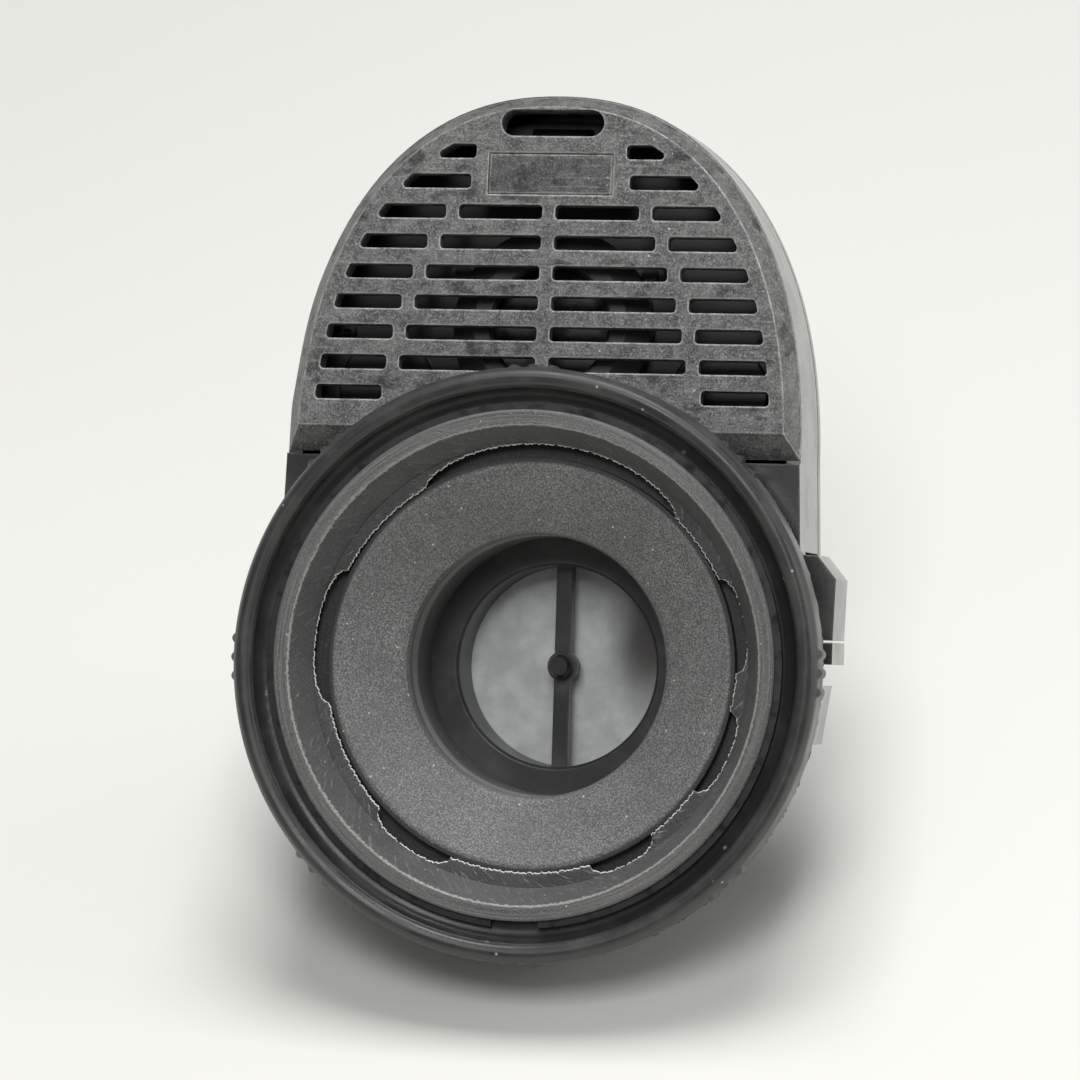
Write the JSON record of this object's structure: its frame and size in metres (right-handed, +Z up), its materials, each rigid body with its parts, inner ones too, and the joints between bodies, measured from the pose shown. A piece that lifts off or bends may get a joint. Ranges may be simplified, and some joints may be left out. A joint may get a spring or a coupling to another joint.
{
  "type": "full face respirator front unit",
  "caption": "Black front unit of a full face respirator: slotted speech cover above a round air inlet with a turning lock ring, check valves inside and a neck for the facepiece behind.",
  "frame": {"origin": "on the table, in the middle of the unit's footprint box, as it stands leaning back on the lower edge of its rear cover and the end of its nose spigot", "axes": "+Z up from the table, +X to the right as seen from the front, -Y towards the viewer; the inlet axis lies in the YZ plane and points forwards and 38 degrees up"},
  "size_m": [0.1012, 0.117, 0.1197],
  "materials": {
    "housing_plastic": "satin moulded",
    "cover_plastic": "worn matte",
    "badge_plastic": "smooth",
    "collar_plastic": "turned",
    "funnel_plastic": "fine grained",
    "button_plastic": "satin moulded",
    "speech_plastic": "smooth",
    "grip_rubber": "matte",
    "seal_rubber": "matte",
    "washer_plastic": "smooth",
    "silicone": "translucent, satin",
    "foil": "thin foil",
    "steel": "plain"
  },
  "bodies": {
    "housing": {"main_housing": "housing_plastic", "housing_gasket": "seal_rubber", "rear_cover": "housing_plastic", "rear_cover_screws": "steel", "chamber_deck": "housing_plastic", "deck_screws": "steel", "speech_gasket": "seal_rubber", "speech_diaphragm": "foil", "speech_clamp": "speech_plastic", "speech_screws": "steel", "cover_detent": "steel", "inlet_collar": "collar_plastic", "collar_screws": "steel", "ring_clip": "steel", "ring_washer": "washer_plastic", "seal_lip": "seal_rubber", "inlet_funnel": "funnel_plastic", "funnel_gasket": "seal_rubber", "valve_seat": "funnel_plastic", "nose_spigot": "funnel_plastic", "spigot_oring": "seal_rubber", "spigot_screws": "steel", "button_spring_left": "steel", "button_spring_right": "steel"},
    "ring": {"lock_ring": "collar_plastic", "grip_sleeve": "grip_rubber"},
    "cover": {"slotted_cover": "cover_plastic", "blank_badge": "badge_plastic"},
    "inhale_valve": {"inhale_valve": "silicone"},
    "exhale_valve_right": {"exhale_valve_right": "silicone"},
    "exhale_valve_left": {"exhale_valve_left": "silicone"},
    "release_button_right": {"release_button_right": "button_plastic"},
    "release_button_left": {"release_button_left": "button_plastic"}
  },
  "joints": [
    {"name": "lock_ring_turn", "type": "hinge", "parent": "housing", "child": "ring", "pos_m": [0, -0.02808, 0.05349], "axis": [0, 0.788, -0.6157], "range_deg": [0, 40]},
    {"name": "cover_slide", "type": "slide", "parent": "housing", "child": "cover", "axis": [0, 0.682, 0.7314], "range_m": [0, 0.04]},
    {"name": "inhale_open", "type": "slide", "parent": "housing", "child": "inhale_valve", "axis": [0, 0.788, -0.6157], "range_m": [0, 0.0016], "stiffness_N_per_m": 30},
    {"name": "exhale_right_open", "type": "slide", "parent": "housing", "child": "exhale_valve_right", "axis": [0, -0.7314, 0.682], "range_m": [0, 0.0012], "stiffness_N_per_m": 20},
    {"name": "exhale_left_open", "type": "slide", "parent": "housing", "child": "exhale_valve_left", "axis": [0, -0.7314, 0.682], "range_m": [0, 0.0012], "stiffness_N_per_m": 20},
    {"name": "button_right_press", "type": "slide", "parent": "housing", "child": "release_button_right", "axis": [-1, 0, 0], "range_m": [0, 0.002], "stiffness_N_per_m": 800, "springref_m": -0.001, "deforming": ["button_spring_right"]},
    {"name": "button_left_press", "type": "slide", "parent": "housing", "child": "release_button_left", "axis": [1, 0, 0], "range_m": [0, 0.002], "stiffness_N_per_m": 800, "springref_m": -0.001, "deforming": ["button_spring_left"]}
  ],
  "couplings": [
    {"joint": "exhale_left_open", "follows": "exhale_right_open", "ratio": 1}
  ]
}
